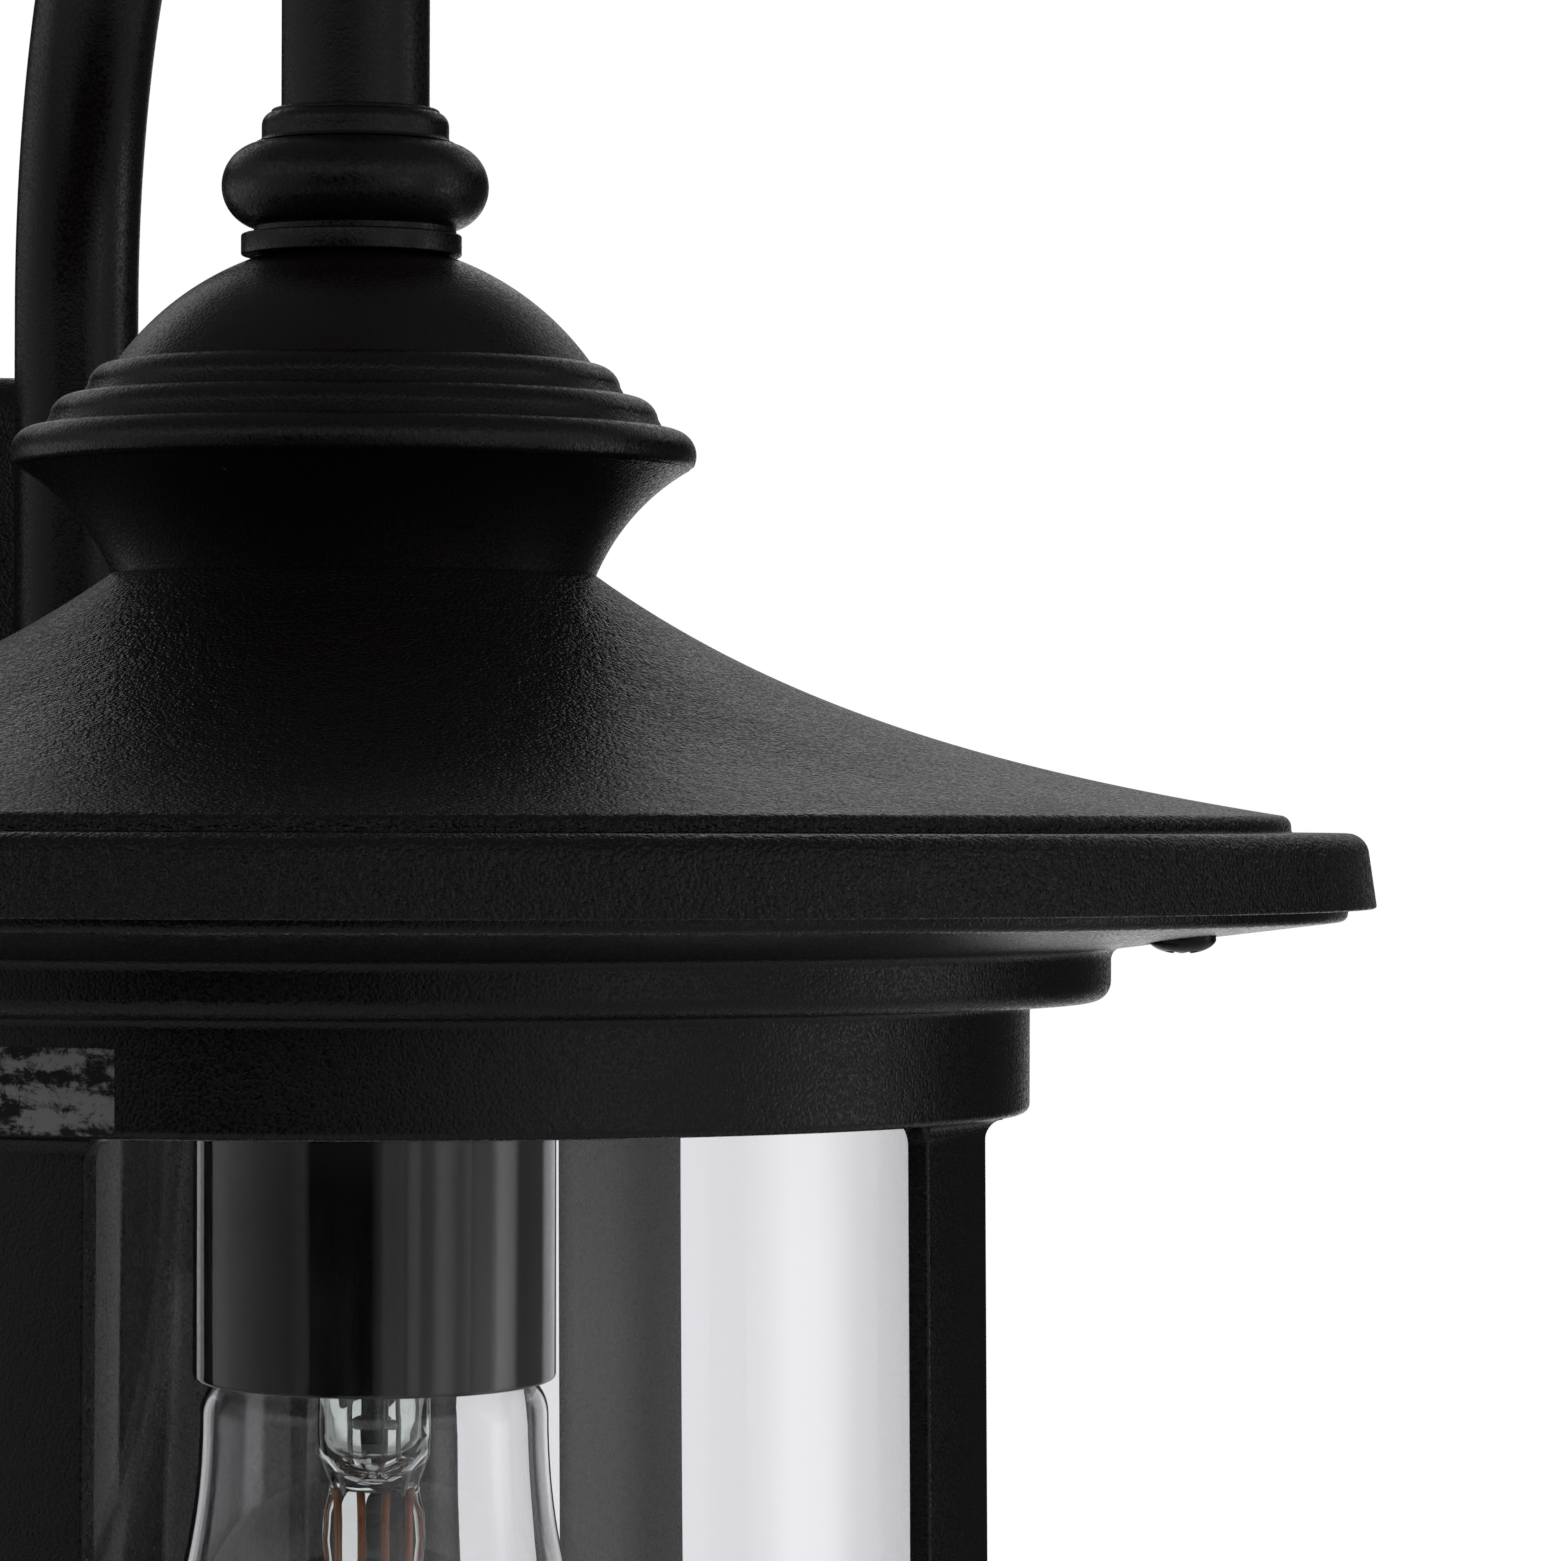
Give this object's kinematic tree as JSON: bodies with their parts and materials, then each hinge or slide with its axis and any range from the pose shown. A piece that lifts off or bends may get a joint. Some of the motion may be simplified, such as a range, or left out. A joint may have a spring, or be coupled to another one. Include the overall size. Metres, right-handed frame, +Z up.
{
  "type": "outdoor wall light",
  "caption": "Outdoor wall lantern: bent tube arm on a plain plate, rippled bell and wide concave roof over a barred cage with a clear glass cylinder and a screw-in bulb.",
  "frame": {"origin": "midway between the two wall screws, on the wall plane (the back of the mounting strap)", "axes": "+Z up, +Y into the wall, +X to the right for someone who faces the wall; the lantern stands out along -Y"},
  "size_m": [0.22, 0.326, 0.3187],
  "materials": {
    "plate_coat": "black powder coat on cast aluminium, fine sand texture",
    "zinc": "zinc-plated sheet steel",
    "black_nut": "black-painted dome nut",
    "earth_brass": "bare brass",
    "block_plastic": "off-white polyamide",
    "clamp_steel": "zinc-plated steel",
    "arm_coat": "black powder coat on aluminium tube",
    "insert_steel": "bare turned steel",
    "ferrule_coat": "black powder coat on turned aluminium",
    "nipple_steel": "zinc-plated threaded tube",
    "lock_steel": "zinc-plated toothed washer",
    "nut_steel": "zinc-plated nut",
    "knuckle_coat": "black powder coat on turned aluminium",
    "washer_coat": "black powder coat",
    "bell_coat": "black powder coat on spun aluminium",
    "cup_coat": "black powder coat on spun aluminium",
    "roof_coat": "black powder coat on cast aluminium, fine sand texture",
    "rod_steel": "zinc-plated threaded tube",
    "cage_coat": "black powder coat on cast aluminium, fine sand texture",
    "screw_black": "black zinc-plated screw",
    "clear_glass": "clear polished glass tube",
    "silicone": "translucent silicone",
    "clip_steel": "spring steel",
    "screw_zinc": "zinc-plated pan-head screw",
    "bracket_zinc": "zinc-plated strip steel",
    "holder_black": "black thermoset, satin gloss",
    "ceramic": "glazed white ceramic",
    "shell_brass": "drawn brass shell",
    "contact_brass": "spring brass contact",
    "bulb_clear": "clear blown glass",
    "stem_clear": "clear pressed glass",
    "filament": "amber phosphor strips on thin wires",
    "cap_nickel": "nickel-plated screw cap",
    "insulator_black": "black vitrite glass",
    "tip_solder": "solder over brass",
    "lead_sheath": "round flexible PVC sheath"
  },
  "bodies": {
    "lantern": {"wall_plate": "plate_coat", "mounting_strap": "zinc", "plate_studs": "zinc", "cap_nuts": "black_nut", "earth_screw": "earth_brass", "terminal_block": "block_plastic", "terminal_screws": "clamp_steel", "arm_tube": "arm_coat", "tube_inserts": "insert_steel", "arm_ferrule": "ferrule_coat", "foot_nipple": "nipple_steel", "foot_lock_washer": "lock_steel", "foot_nut": "nut_steel", "knuckle": "knuckle_coat", "stem_washer": "washer_coat", "bell_cap": "bell_coat", "neck_cup": "cup_coat", "roof": "roof_coat", "stem_rod": "rod_steel", "stem_lock_washer": "lock_steel", "stem_nut": "nut_steel", "cage": "cage_coat", "cage_screws": "screw_black", "glass_cylinder": "clear_glass", "glass_seal_base": "silicone", "glass_seal_top": "silicone", "glass_clips": "clip_steel", "clip_screws": "screw_zinc", "holder_bracket": "bracket_zinc", "holder_screws": "screw_zinc", "holder_cap": "holder_black", "holder_shroud": "holder_black", "holder_core": "ceramic", "screw_shell": "shell_brass", "centre_contact": "contact_brass", "supply_lead": "lead_sheath"},
    "bulb_tip": {"bulb_tip": "tip_solder"},
    "bulb": {"bulb_glass": "bulb_clear", "bulb_stem": "stem_clear", "bulb_filaments": "filament", "bulb_cap": "cap_nickel", "bulb_insulator": "insulator_black"}
  },
  "joints": [
    {"name": "bulb_travel", "type": "slide", "parent": "lantern", "child": "bulb_tip", "axis": [0, 0, -1], "range_m": [0, 0.01815]},
    {"name": "bulb_turn", "type": "hinge", "parent": "bulb_tip", "child": "bulb", "pos_m": [0.0025, -0.216, -0.06], "axis": [0, 0, -1], "range_deg": [0, 1800]}
  ],
  "couplings": [
    {"joint": "bulb_turn", "follows": "bulb_travel", "rad_per_m": 1731.4}
  ]
}
